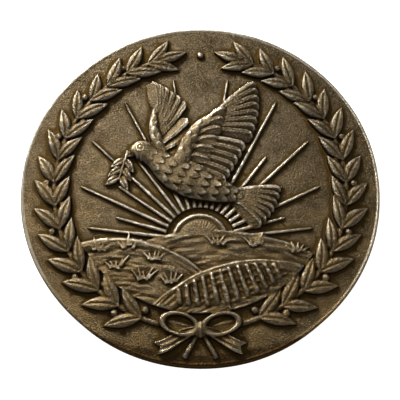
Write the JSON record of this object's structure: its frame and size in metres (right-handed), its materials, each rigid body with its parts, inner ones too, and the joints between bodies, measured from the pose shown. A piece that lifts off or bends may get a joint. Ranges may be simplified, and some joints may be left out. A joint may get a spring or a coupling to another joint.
{
  "type": "commemorative medal",
  "caption": "Round cast bronze commemorative medal with a rounded rim, a raised laurel wreath, bow, dove, sun and hills on its face, and a plain flat reverse.",
  "frame": {"origin": "centre of the flat reverse, which lies on the surface", "axes": "+Z out of the raised face, +Y towards the top of its design"},
  "size_m": [0.06, 0.06, 0.0061],
  "materials": {
    "bronze": "cast bronze with a dark brown patina, near black in the recesses and worn lighter on the raised forms"
  },
  "bodies": {
    "root": {"medal": "bronze"}
  },
  "joints": []
}
